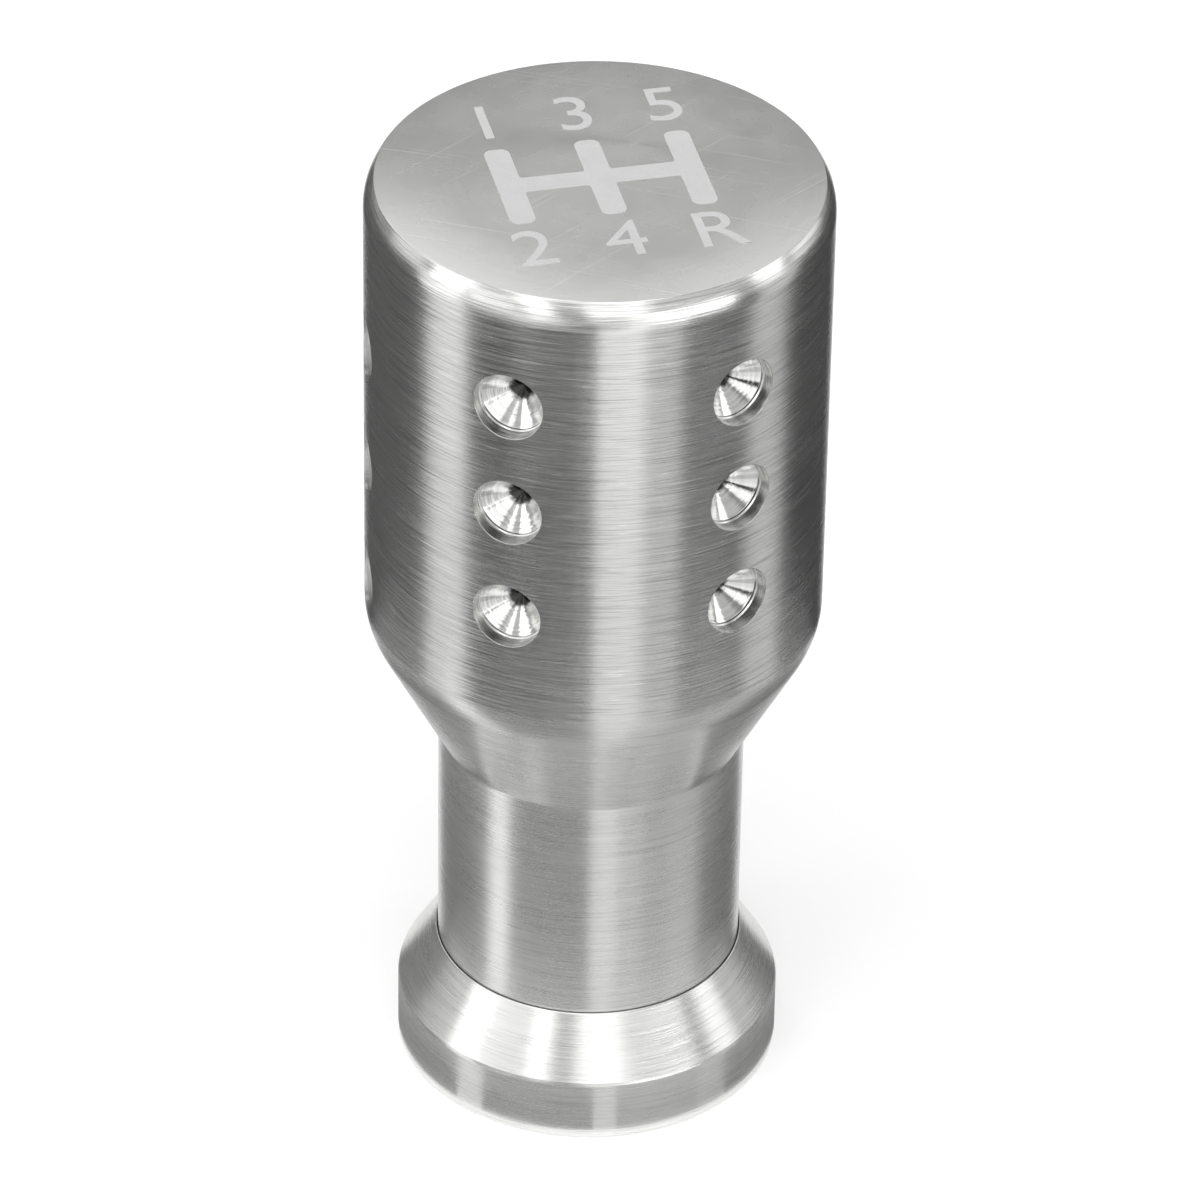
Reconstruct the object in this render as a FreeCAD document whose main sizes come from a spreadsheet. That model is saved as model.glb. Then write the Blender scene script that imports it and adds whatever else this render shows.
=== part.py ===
# Gear shift knob: a turned metal head with drilled finger dimples on a slim neck,
# a sliding gaiter collar around the neck, and a threaded adapter held by grub screws.
# Millimetres and degrees. The origin is the middle of the underside, +Z runs up the
# knob's axis and -Y is the driver's side.
import FreeCAD, Part
import math
import os
import re
import Sketcher
from FreeCAD import Placement, Rotation, Vector

SIZES = (
    ("neck_radius", 14.2, "slim neck"),
    ("neck_height", 35.5, "underside to the start of the cone"),
    ("neck_chamfer", 0.5, "edge break at the neck's end"),
    ("cone_angle", 27.4, "side of the cone, measured from the axis"),
    ("shoulder_radius", 7.2, "rounding between the cone and the head's straight side"),
    ("head_radius", 21.0, "straight side of the head"),
    ("head_height", 46.18, "corner under the rounding to the top face"),
    ("top_edge_inset", 0.93, "straight side in to the crisp edge of the top face"),
    ("top_edge_height", 3.05, "curve below the top face"),
    ("dimple_radius", 3.25, "drilled finger dimple"),
    ("dimple_wall", 1.5, "straight depth of a dimple"),
    ("dimple_point_angle", 52.5, "side of the dimple's cone, measured from its axis"),
    ("dimple_rows", 3, "dimples in a column"),
    ("finger_angle", 60.0, "turn of the four finger columns from the X axis"),
    ("finger_drop", 11.7, "top face to the highest dimple of a finger column"),
    ("finger_pitch", 11.15, "dimple spacing in a finger column"),
    ("side_drop", 16.2, "top face to the highest dimple of a column on the X axis"),
    ("side_pitch", 12.35, "dimple spacing in a column on the X axis"),
    ("collar_overhang", 3.75, "neck's side to the outside of the collar's rim"),
    ("collar_height", 12.2, "underside to the top of the collar"),
    ("rim_height", 6.05, "straight part of the collar's rim"),
    ("rim_bevel", 0.4, "narrow bevel between the rim and the collar's cone"),
    ("collar_chamfer", 0.3, "lower outside edge of the collar"),
    ("collar_lip", 0.15, "edge break at the top of the collar's bore"),
    ("collar_clearance", 0.1, "gap between the neck and the collar"),
    ("pocket_wall", 1.55, "rim around the pocket that takes the gaiter's top"),
    ("pocket_depth", 4.2, "underside to the collar's inner shoulder"),
    ("wire_radius", 0.8, "round wire of the snap ring"),
    ("ring_opening", 36.0, "angle left open in the snap ring"),
    ("ring_clearance", 0.1, "gap between the snap ring and the collar's shoulder"),
    ("cord_radius", 0.75, "section of the rubber ring that steadies the collar"),
    ("cord_drop", 1.3, "collar's top to the middle of the rubber ring"),
    ("seat_clearance", 0.05, "gap around a piece in its groove or bore"),
    ("adapter_radius", 9.0, "outside of the threaded adapter"),
    ("adapter_length", 30.0, "threaded adapter"),
    ("adapter_recess", 1.0, "underside to the adapter's lower end"),
    ("adapter_chamfer", 0.6, "outer edges of the adapter"),
    ("bore_chamfer", 0.6, "mouth of the body's bore"),
    ("bore_gap", 0.2, "gap above the adapter"),
    ("thread_radius", 5.4, "hole for M12 x 1.25 at its tapping drill"),
    ("thread_chamfer", 1.0, "lead-in of the threaded hole"),
    ("thread_end_wall", 1.0, "metal above the drilled point of the threaded hole"),
    ("drill_angle", 59.0, "side of a twist drill's point, measured from its axis"),
    ("screw_radius", 2.5, "M5 grub screw"),
    ("screw_sink", 0.75, "neck's side in to the outer end of a grub screw"),
    ("screw_margin", 0.3, "collar's inner shoulder up to the nearest part of a grub screw"),
    ("screw_count", 3, "grub screws around the neck"),
    ("screw_tip_radius", 1.3, "flat inner end of a grub screw"),
    ("screw_chamfer", 0.35, "outer end of a grub screw"),
    ("socket_width", 2.5, "hexagon socket of a grub screw, across its flats"),
    ("socket_depth", 2.4, "hexagon socket of a grub screw"),
    ("tip_groove_depth", 0.6, "groove in the adapter for the screws' ends"),
    ("cut_overrun", 1.0, "how far a cutting outline passes the surface that it cuts"),
)

# Sizes and heights that follow from the driving ones.
SHOULDER_HEIGHT = "neck_height + (head_radius - neck_radius) / tan(cone_angle)"
KNOB_HEIGHT = f"{SHOULDER_HEIGHT} + head_height"
BORE_RADIUS = "adapter_radius + seat_clearance"
BORE_DEPTH = "adapter_recess + adapter_length + bore_gap"
COLLAR_BORE = "neck_radius + collar_clearance"
COLLAR_RADIUS = "neck_radius + collar_overhang"
POCKET_RADIUS = f"{COLLAR_RADIUS} - pocket_wall"
RING_HEIGHT = "pocket_depth - ring_clearance - wire_radius"
CORD_HEIGHT = "collar_height - cord_drop"
CORD_AROUND = "neck_radius + collar_clearance / 2 - cord_radius"
ADAPTER_TOP = "adapter_recess + adapter_length"
THREAD_FLOOR = f"{ADAPTER_TOP} - thread_end_wall - thread_radius / tan(drill_angle)"
SCREW_HEIGHT = "pocket_depth + screw_margin + screw_radius"
SCREW_START = "adapter_radius - tip_groove_depth + seat_clearance"
SCREW_END = "neck_radius - screw_sink"

FULL_TURN = 360
HEXAGON_SIDES = 6
HEXAGON_STEP = FULL_TURN / HEXAGON_SIDES
SAME_EDGE = 1e-4

# The sketcher's own numbers for its axes and for the points of a side.
H_AXIS, V_AXIS = -1, -2
START, END, CENTRE = 1, 2, 3


def bound(formula):
    """Point every size that a formula names at its cell in the sheet."""
    return re.sub(r"[a-z]+(?:_[a-z]+)+", lambda found: "Sizes." + found.group(), str(formula))


def value(owner, formula):
    """The number that a formula gives with the sheet's present sizes."""
    return float(owner.evalExpression(bound(formula)))


def fill_sheet(doc):
    """Write the driving sizes, one row each: what it is, and the number under its alias."""
    sheet = doc.addObject("Spreadsheet::Sheet", "Sizes")
    for row, (alias, number, note) in enumerate(SIZES, start=1):
        sheet.set(f"A{row}", note)
        sheet.set(f"B{row}", str(number))
        sheet.setAlias(f"B{row}", alias)
    doc.recompute()


def new_body(doc, name):
    body = doc.addObject("PartDesign::Body", name)
    body.Label = name
    body.AllowCompound = True
    body.Placement = Placement()
    return body


def origin_part(body, role):
    """The plane or axis of a body's own origin that has this role."""
    return next(item for item in body.Origin.OriginFeatures if item.Role == role)


def new_sketch(body, name, plane="XZ_Plane"):
    sketch = body.newObject("Sketcher::SketchObject", name)
    sketch.AttachmentSupport = [(origin_part(body, plane), "")]
    sketch.MapMode = "FlatFace"
    return sketch


def radial_sketch(body, name, height, angle="0"):
    """A sketch whose X axis points straight out of the knob's axis, at a height and an angle."""
    sketch = new_sketch(body, name)
    lift = Vector(0, value(body, height), 0)
    sketch.AttachmentOffset = Placement(lift, Rotation(Vector(0, 1, 0), value(body, angle)))
    sketch.setExpression(".AttachmentOffset.Base.y", bound(height))
    if angle != "0":
        sketch.setExpression(".AttachmentOffset.Rotation.Angle", bound(angle))
    return sketch


def constrain(sketch, *constraint):
    return sketch.addConstraint(Sketcher.Constraint(*constraint))


def drive(sketch, number, formula):
    """Let a formula set the constraint with this number."""
    sketch.setExpression(f"Constraints[{number}]", bound(formula))


def pin(sketch, side, point, across, up):
    """Hold a point of a side at a place that two formulas give."""
    for kind, axis, formula in (("DistanceX", V_AXIS, across), ("DistanceY", H_AXIS, up)):
        if formula == "0":
            constrain(sketch, "PointOnObject", side, point, axis)
        else:
            distance = value(sketch, formula)
            number = constrain(sketch, kind, H_AXIS, START, side, point, distance)
            drive(sketch, number, formula)


def tangent_arc(before, start, end):
    """The arc from start to end that leaves start in line with the side before it."""
    along = (start - before).normalize()
    inward = Vector(-along.y, along.x, 0)
    chord = end - start
    radius = chord.dot(chord) / (2 * chord.dot(inward))
    centre = start + inward * radius
    middle = centre + ((start + end) / 2 - centre).normalize() * radius
    return Part.Arc(start, middle, end)


def draw_outline(sketch, corners, arc_side=None):
    """Draw a closed outline, anticlockwise, through corners given as pairs of formulas.

    The side numbered arc_side is an arc in line with the side before it.
    """
    places = [Vector(value(sketch, across), value(sketch, up), 0) for across, up in corners]
    count = len(places)
    for side, start in enumerate(places):
        end = places[(side + 1) % count]
        if side == arc_side:
            sketch.addGeometry(tangent_arc(places[side - 1], start, end), False)
        else:
            sketch.addGeometry(Part.LineSegment(start, end), False)
    for side in range(count):
        kind = "Tangent" if side + 1 == arc_side else "Coincident"
        constrain(sketch, kind, side, END, (side + 1) % count, START)
    for side, (across, up) in enumerate(corners):
        pin(sketch, side, START, across, up)


def draw_circle(sketch, across, up, radius):
    """Draw a circle whose centre and radius are formulas."""
    centre = Vector(value(sketch, across), value(sketch, up), 0)
    circle = Part.Circle(centre, Vector(0, 0, 1), value(sketch, radius))
    side = sketch.addGeometry(circle, False)
    pin(sketch, side, CENTRE, across, up)
    drive(sketch, constrain(sketch, "Radius", side, circle.Radius), radius)


def draw_hexagon(sketch, width):
    """Draw a hexagon around the sketch's origin, its width across flats a formula."""
    reach = f"{width} / 2 / cos({HEXAGON_STEP / 2})"
    radius = value(sketch, reach)
    angles = [math.radians(HEXAGON_STEP * corner) for corner in range(HEXAGON_SIDES)]
    corners = [Vector(radius * math.cos(angle), radius * math.sin(angle), 0) for angle in angles]
    for side, corner in enumerate(corners):
        following = corners[(side + 1) % HEXAGON_SIDES]
        sketch.addGeometry(Part.LineSegment(corner, following), False)
    guide = sketch.addGeometry(Part.Circle(Vector(), Vector(0, 0, 1), radius), True)
    constrain(sketch, "Coincident", guide, CENTRE, H_AXIS, START)
    constrain(sketch, "PointOnObject", 0, START, H_AXIS)
    for side in range(HEXAGON_SIDES):
        constrain(sketch, "Coincident", side, END, (side + 1) % HEXAGON_SIDES, START)
        constrain(sketch, "PointOnObject", side, START, guide)
        if side:
            constrain(sketch, "Equal", 0, side)
    drive(sketch, constrain(sketch, "Radius", guide, radius), reach)


def turn(body, kind, name, sketch, axis="V_Axis", angle=FULL_TURN):
    """Revolve a sketch about one of its axes, to add (Revolution) or to cut (Groove)."""
    feature = body.newObject("PartDesign::" + kind, name)
    feature.Profile = sketch
    feature.ReferenceAxis = (sketch, [axis])
    feature.setExpression("Angle", bound(angle))
    return feature


def edge_at(feature, radius, height):
    """The name of the full round edge with this radius at this height."""
    for number, edge in enumerate(feature.Shape.Edges, start=1):
        if not isinstance(edge.Curve, Part.Circle):
            continue
        off = abs(edge.Curve.Radius - radius) + abs(edge.Curve.Center.z - height)
        if off < SAME_EDGE:
            return f"Edge{number}"
    raise RuntimeError("no such edge")


def column_down(body, name, pitch):
    """Steps down the head, for the dimples of one column."""
    step = body.newObject("PartDesign::LinearPattern", name)
    step.Direction = (origin_part(body, "Z_Axis"), [""])
    step.Reversed = True
    step.Mode = "Spacing"
    step.setExpression("Offset", bound(pitch))
    step.setExpression("Occurrences", bound("dimple_rows"))
    return step


def mirror_in(body, name, plane):
    mirror = body.newObject("PartDesign::Mirrored", name)
    mirror.MirrorPlane = (origin_part(body, plane), [""])
    return mirror


def repeat(body, name, original, steps):
    """Apply several steps to one feature, each to the copies of the step before."""
    pattern = body.newObject("PartDesign::MultiTransform", name)
    pattern.Originals = [original]
    pattern.Transformations = steps
    body.Tip = pattern


def repeat_around(body, name, originals, count):
    """Copy features evenly around the knob's axis."""
    pattern = body.newObject("PartDesign::PolarPattern", name)
    pattern.Originals = originals
    pattern.Axis = (origin_part(body, "Z_Axis"), [""])
    pattern.Angle = FULL_TURN
    pattern.setExpression("Occurrences", bound(count))
    body.Tip = pattern


def cut_square_groove(body, name, floor, surface, middle, half_width):
    """Turn a square groove around the knob's axis, through the surface down to the floor."""
    sketch = new_sketch(body, name + "_section")
    low = f"{middle} - ({half_width})"
    high = f"{middle} + ({half_width})"
    outside = f"{surface} + cut_overrun"
    draw_outline(sketch, ((floor, low), (outside, low), (outside, high), (floor, high)))
    turn(body, "Groove", name, sketch)


def drill_dimple(body, name, drop, angle="0"):
    """Drill the highest dimple of a column: a straight wall, then the drill's cone."""
    sketch = radial_sketch(body, name + "_section", f"{KNOB_HEIGHT} - {drop}", angle)
    floor = "head_radius - dimple_wall"
    outside = "head_radius + cut_overrun"
    outline = (
        (f"{floor} - dimple_radius / tan(dimple_point_angle)", "0"),
        (outside, "0"),
        (outside, "dimple_radius"),
        (floor, "dimple_radius"),
    )
    draw_outline(sketch, outline)
    return turn(body, "Groove", name, sketch, axis="H_Axis")


def turn_blank(doc, body):
    """The outside of the knob, from the neck's end to the top face."""
    sketch = new_sketch(body, "outer_profile")
    outline = (
        ("0", "0"),
        ("neck_radius - neck_chamfer", "0"),
        ("neck_radius", "neck_chamfer"),
        ("neck_radius", "neck_height"),
        ("head_radius", SHOULDER_HEIGHT),
        ("head_radius", f"{KNOB_HEIGHT} - top_edge_height"),
        ("head_radius - top_edge_inset", KNOB_HEIGHT),
        ("0", KNOB_HEIGHT),
    )
    draw_outline(sketch, outline, arc_side=5)
    blank = turn(body, "Revolution", "blank", sketch)
    doc.recompute()

    corner = edge_at(blank, value(body, "head_radius"), value(body, SHOULDER_HEIGHT))
    shoulder = body.newObject("PartDesign::Fillet", "shoulder")
    shoulder.Base = (blank, [corner])
    shoulder.setExpression("Radius", bound("shoulder_radius"))


def bore_neck(body):
    """The blind bore for the adapter, and the grooves for the snap ring and the rubber ring."""
    bore = new_sketch(body, "bore_profile")
    outline = (
        ("0", "0"),
        (f"{BORE_RADIUS} + bore_chamfer", "0"),
        (BORE_RADIUS, "bore_chamfer"),
        (BORE_RADIUS, BORE_DEPTH),
        ("0", f"{BORE_DEPTH} + ({BORE_RADIUS}) / tan(drill_angle)"),
    )
    draw_outline(bore, outline)
    turn(body, "Groove", "bore", bore)

    ring_groove = new_sketch(body, "snap_ring_groove_section")
    draw_circle(ring_groove, "neck_radius", RING_HEIGHT, "wire_radius + seat_clearance")
    turn(body, "Groove", "snap_ring_groove", ring_groove)

    cord_floor = f"{CORD_AROUND} - cord_radius - seat_clearance"
    cord_half = "cord_radius + 2 * seat_clearance"
    cut_square_groove(body, "o_ring_groove", cord_floor, "neck_radius", CORD_HEIGHT, cord_half)


def drill_screw_holes(body):
    """The tapped holes through the neck's wall, for the grub screws."""
    sketch = radial_sketch(body, "screw_hole_section", SCREW_HEIGHT)
    inside = f"{BORE_RADIUS} - cut_overrun"
    outside = "neck_radius + cut_overrun"
    radius = "screw_radius + seat_clearance"
    draw_outline(sketch, ((inside, "0"), (outside, "0"), (outside, radius), (inside, radius)))
    hole = turn(body, "Groove", "screw_hole", sketch, axis="H_Axis")
    repeat_around(body, "screw_holes", [hole], "screw_count")


def drill_dimples(body):
    """Four finger columns, two in front and two behind, and a lower column on each side."""
    finger = drill_dimple(body, "finger_dimple", "finger_drop", "finger_angle")
    finger_steps = [
        column_down(body, "finger_column", "finger_pitch"),
        mirror_in(body, "finger_left_and_right", "YZ_Plane"),
        mirror_in(body, "finger_front_and_back", "XZ_Plane"),
    ]
    repeat(body, "finger_dimples", finger, finger_steps)

    side = drill_dimple(body, "side_dimple", "side_drop")
    side_steps = [
        column_down(body, "side_column", "side_pitch"),
        mirror_in(body, "side_left_and_right", "YZ_Plane"),
    ]
    repeat(body, "side_dimples", side, side_steps)


def make_knob_body(doc):
    """Head, cone and neck, turned in one piece and then drilled."""
    body = new_body(doc, "knob_body")
    turn_blank(doc, body)
    bore_neck(body)
    drill_screw_holes(body)
    drill_dimples(body)
    return body


def make_gaiter_collar(doc):
    """The ring around the neck's foot: cone above, rim below, a pocket in its underside."""
    body = new_body(doc, "gaiter_collar")
    sketch = new_sketch(body, "collar_profile")
    outline = (
        (POCKET_RADIUS, "0"),
        (f"{COLLAR_RADIUS} - collar_chamfer", "0"),
        (COLLAR_RADIUS, "collar_chamfer"),
        (COLLAR_RADIUS, "rim_height"),
        (f"{COLLAR_RADIUS} - rim_bevel", "rim_height + rim_bevel"),
        (f"{COLLAR_BORE} + collar_lip", "collar_height"),
        (COLLAR_BORE, "collar_height - collar_lip"),
        (COLLAR_BORE, "pocket_depth"),
        (POCKET_RADIUS, "pocket_depth"),
    )
    draw_outline(sketch, outline)
    turn(body, "Revolution", "collar", sketch)
    return body


def make_snap_ring(doc):
    """The open ring of round wire that the collar rests on."""
    body = new_body(doc, "snap_ring")
    sketch = new_sketch(body, "wire_section")
    draw_circle(sketch, "neck_radius", RING_HEIGHT, "wire_radius")
    turn(body, "Revolution", "wire", sketch, angle=f"{FULL_TURN} - ring_opening")
    return body


def make_neck_o_ring(doc):
    """The rubber ring in the neck that keeps the collar from rattling."""
    body = new_body(doc, "neck_o_ring")
    sketch = new_sketch(body, "cord_section")
    draw_circle(sketch, CORD_AROUND, CORD_HEIGHT, "cord_radius")
    turn(body, "Revolution", "cord", sketch)
    return body


def make_threaded_adapter(doc):
    """The sleeve that screws onto the lever, with a groove for the grub screws."""
    body = new_body(doc, "threaded_adapter")
    sleeve = new_sketch(body, "sleeve_profile")
    outline = (
        ("0", "adapter_recess"),
        ("adapter_radius - adapter_chamfer", "adapter_recess"),
        ("adapter_radius", "adapter_recess + adapter_chamfer"),
        ("adapter_radius", f"{ADAPTER_TOP} - adapter_chamfer"),
        ("adapter_radius - adapter_chamfer", ADAPTER_TOP),
        ("0", ADAPTER_TOP),
    )
    draw_outline(sleeve, outline)
    turn(body, "Revolution", "sleeve", sleeve)

    thread = new_sketch(body, "thread_profile")
    hole = (
        ("0", "adapter_recess"),
        ("thread_radius + thread_chamfer", "adapter_recess"),
        ("thread_radius", "adapter_recess + thread_chamfer"),
        ("thread_radius", THREAD_FLOOR),
        ("0", f"{ADAPTER_TOP} - thread_end_wall"),
    )
    draw_outline(thread, hole)
    turn(body, "Groove", "threaded_hole", thread)

    groove_floor = "adapter_radius - tip_groove_depth"
    groove_half = "screw_tip_radius + tip_groove_depth + seat_clearance"
    cut_square_groove(body, "screw_groove", groove_floor, "adapter_radius", SCREW_HEIGHT, groove_half)
    return body


def make_grub_screws(doc):
    """The grub screws in the neck's wall, their ends in the adapter's groove."""
    body = new_body(doc, "grub_screws")
    shank = radial_sketch(body, "shank_profile", SCREW_HEIGHT)
    outline = (
        (SCREW_START, "0"),
        (SCREW_END, "0"),
        (SCREW_END, "screw_radius - screw_chamfer"),
        (f"{SCREW_END} - screw_chamfer", "screw_radius"),
        (f"{SCREW_START} + screw_radius - screw_tip_radius", "screw_radius"),
        (SCREW_START, "screw_tip_radius"),
    )
    draw_outline(shank, outline)
    screw = turn(body, "Revolution", "screw", shank, axis="H_Axis")

    hexagon = new_sketch(body, "socket_outline", "YZ_Plane")
    place = Vector(0, value(body, SCREW_HEIGHT), value(body, SCREW_END))
    hexagon.AttachmentOffset = Placement(place, Rotation())
    hexagon.setExpression(".AttachmentOffset.Base.y", bound(SCREW_HEIGHT))
    hexagon.setExpression(".AttachmentOffset.Base.z", bound(SCREW_END))
    draw_hexagon(hexagon, "socket_width")
    socket = body.newObject("PartDesign::Pocket", "socket")
    socket.Profile = hexagon
    socket.setExpression("Length", bound("socket_depth"))
    repeat_around(body, "screws", [screw, socket], "screw_count")
    return body


def check_objects(doc, bodies):
    """Stop if anything failed to build, before a file is written."""
    for item in doc.Objects:
        if "Invalid" in item.State or "Error" in item.State:
            raise RuntimeError(f"{item.Name} failed: {item.State}")
    for body in bodies:
        if body.Shape.isNull() or not body.Shape.isValid() or not body.Shape.Solids:
            raise RuntimeError(f"{body.Label} has no valid solid")


def main():
    doc = FreeCAD.newDocument("gear_shift_knob")
    fill_sheet(doc)
    bodies = [
        make_knob_body(doc),
        make_gaiter_collar(doc),
        make_snap_ring(doc),
        make_neck_o_ring(doc),
        make_threaded_adapter(doc),
        make_grub_screws(doc),
    ]
    doc.recompute()
    check_objects(doc, bodies)
    os.makedirs("parts", exist_ok=True)
    for body in bodies:
        body.Shape.exportStep(f"parts/{body.Label}.step")
        print(body.Label, len(body.Shape.Solids), "solids", round(body.Shape.Volume, 1), "mm3")


main()
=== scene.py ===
"""The looks of a turned metal gear shift knob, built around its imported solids.

Everything is in metres in the solids' own frame: +Z up the knob's axis, -Y towards the driver.
Sizes written here are millimetres and are scaled by MM where they are used.
"""
import math
from dataclasses import dataclass

import bmesh
import bpy
import numpy as np
from mathutils import Matrix, Quaternion, Vector


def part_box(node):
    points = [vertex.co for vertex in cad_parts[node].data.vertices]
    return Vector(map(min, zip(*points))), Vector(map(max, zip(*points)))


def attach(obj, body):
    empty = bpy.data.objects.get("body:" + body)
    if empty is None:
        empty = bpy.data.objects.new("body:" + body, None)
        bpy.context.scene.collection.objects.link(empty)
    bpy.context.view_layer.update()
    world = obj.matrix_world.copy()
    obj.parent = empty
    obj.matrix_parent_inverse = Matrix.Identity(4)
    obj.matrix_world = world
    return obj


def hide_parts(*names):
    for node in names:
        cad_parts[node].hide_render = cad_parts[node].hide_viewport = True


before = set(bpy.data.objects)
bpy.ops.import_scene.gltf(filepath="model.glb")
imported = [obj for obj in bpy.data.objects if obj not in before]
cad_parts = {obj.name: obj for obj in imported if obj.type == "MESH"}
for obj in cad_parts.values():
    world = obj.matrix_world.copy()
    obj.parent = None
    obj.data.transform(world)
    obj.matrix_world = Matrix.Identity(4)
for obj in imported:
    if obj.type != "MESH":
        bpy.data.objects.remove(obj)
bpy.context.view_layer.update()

MM = 0.001
UP = Vector((0, 0, 1))

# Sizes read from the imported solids.
HEAD_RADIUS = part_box("knob_body")[1].x / MM
KNOB_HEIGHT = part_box("knob_body")[1].z / MM
COLLAR_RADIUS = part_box("gaiter_collar")[1].x / MM
COLLAR_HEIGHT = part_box("gaiter_collar")[1].z / MM
ADAPTER_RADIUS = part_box("threaded_adapter")[1].x / MM
ADAPTER_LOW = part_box("threaded_adapter")[0].z / MM
ADAPTER_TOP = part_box("threaded_adapter")[1].z / MM
RING_HEIGHT, CORD_HEIGHT, SCREW_HEIGHT = [(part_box(node)[0].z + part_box(node)[1].z) / 2 / MM
                                          for node in ("snap_ring", "neck_o_ring", "grub_screws")]

# Sizes that a box doesn't give, as on the solids. CORD is the rubber ring.
NECK_RADIUS = 14.2
NECK_HEIGHT = 35.5
NECK_CHAMFER = 0.5
CONE_ANGLE = math.radians(27.4)
SHOULDER_RADIUS = 7.2
TOP_EDGE_INSET = 0.93
TOP_EDGE_HEIGHT = 3.05
BORE_RADIUS = 9.05
BORE_CHAMFER = 0.6
BORE_DEPTH = 31.2
DRILL_POINT = math.radians(59)
RING_GROOVE_RADIUS = 0.85
CORD_GROOVE_DEPTH = 1.5
CORD_GROOVE_HALF = 0.85
SCREW_HOLE_RADIUS = 2.55
DIMPLE_RADIUS = 3.25
DIMPLE_WALL = 1.5
DIMPLE_POINT = math.radians(52.5)
DIMPLE_ROWS = 3
FINGER_HEIGHT = 60.8
FINGER_PITCH = 11.15
SIDE_HEIGHT = 53.9
SIDE_PITCH = 12.35
COLLAR_BORE = 14.3
COLLAR_POCKET = 16.4
POCKET_DEPTH = 4.2
ADAPTER_CHAMFER = 0.6
SCREW_GROOVE_DEPTH = 0.6
SCREW_GROOVE_HALF = 1.95
THREAD_RADIUS = 5.4
THREAD_LEAD = 1.0
THREAD_FLOOR = 26.755

# Forms that the solids leave out or have coarser.
DOME_START = 16.5
DOME_RADIUS = 122.0
DOME_DROP = 0.2
CONE_FOOT_ROUNDING = 0.15
DIMPLE_TIP_FLAT = 0.12
DIMPLE_LEDGE = 0.14
DIMPLE_LEDGE_DROP = 0.1
DRILL_ROUNDING = 0.05
LEDGE_ROUNDING = 0.04
COLLAR_LIP = 0.08
RIM_HEIGHT = 6.4
RIM_BEVEL = 0.1
COLLAR_CHAMFER = 0.14
THREAD_MAJOR = 6.0
THREAD_PITCH = 1.25
THREAD_RUN_OUT = 2.5
# How far, as a share of the pitch, the rows of points stand off the thread's corners.
THREAD_CRISP = 0.012
# Here the tapped holes end, just before the bore that the solids' holes run into. The screws hide it.
SCREW_HOLE_FLOOR = 9.2
# Section of the thread over one pitch: shares of the pitch and of the depth.
THREAD_SECTION = ((0, 0), (0.25, 0), (0.5625, 1), (0.6875, 1), (1, 0))

# The shift pattern on the top.
MARK_THICKNESS = 0.12
MARK_RISE = 0.02
MARK_TURN = 5
GATE_COLUMNS = (-8.2, 0.0, 8.2)
GATE_STROKE = 2.3
GATE_REACH = 6.2
GEARS_AHEAD = "135"
GEARS_BACK = "24R"
GEAR_SIZE = 8.0
GEAR_REACH = 10.6

# How finely the turned surfaces are divided and their edges broken. The lines around are numbered from
# +X, and a column of dimples lies on every 32nd of them.
AROUND = 192
DIMPLE_COLUMNS = 6
SCREW_COUNT = 3
LINE_STEP = 0.6
ARC_STEP = math.radians(6)
EDGE_BREAK = 0.06
CRISP_BREAK = 0.1
# Below these, a turn counts as none, a length as none and a radius as on the axis.
STRAIGHT = ARC_STEP / 10
CLOSE = EDGE_BREAK / 10
ON_AXIS = EDGE_BREAK / 100
# The thread's own points stay this far from the ends of the bore's wall.
THREAD_MARGIN = EDGE_BREAK / 4
# A hole takes a block of this many lines to each side, with rings at these shares of the way inwards.
HOLE_CELL = 6
HOLE_SHARES = (0.35, 0.7, 1.0)
# The strokes of each hole count on from their own multiple of this; a dimple's tip comes after TIP_TRAVEL.
HOLE_TRAVEL = 10.0
TIP_TRAVEL = DIMPLE_WALL + DIMPLE_RADIUS / math.sin(DIMPLE_POINT)

# Finishes of the knob's skin, by material slot.
BRUSHED, TURNED, FACED, DRILLED = range(4)
# Turns the shader's long highlights across the strokes.
QUARTER_TURN = 0.25
NEUTRAL = (1.0, 1.0, 1.0)
ALUMINIUM = (1.0, 1.0, 0.985)


def add_object(name, data):
    """A new object in the scene, of a mesh, curve, lamp or camera."""
    thing = bpy.data.objects.new(name, data)
    bpy.context.scene.collection.objects.link(thing)
    return thing


class Skin:
    """A mesh in the making, in millimetres. A stroke is the place along and across the tool marks."""

    def __init__(self):
        self.points = []
        self.normals = []
        self.faces = []
        self.strokes = []
        self.finishes = []

    def point(self, place, normal):
        self.points.append(place)
        self.normals.append(normal)
        return len(self.points) - 1

    def face(self, corners, strokes, finish=0):
        self.faces.append(corners)
        self.strokes.extend(strokes)
        self.finishes.append(finish)

    def build(self, name, materials):
        """Turn the points and faces into an object whose shading follows the given normals."""
        mesh = bpy.data.meshes.new(name)
        mesh.from_pydata([Vector(place) * MM for place in self.points], [], self.faces)
        strokes = mesh.uv_layers.new(name="strokes")
        strokes.data.foreach_set("uv", (np.array(self.strokes) * MM).ravel())
        mesh.polygons.foreach_set("material_index", self.finishes)
        mesh.polygons.foreach_set("use_smooth", [True] * len(self.faces))
        normals = [Vector(normal).normalized() for normal in self.normals]
        mesh.normals_split_custom_set_from_vertices(normals)
        for material in materials:
            mesh.materials.append(material)
        mesh.update()
        return add_object(name, mesh)


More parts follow.
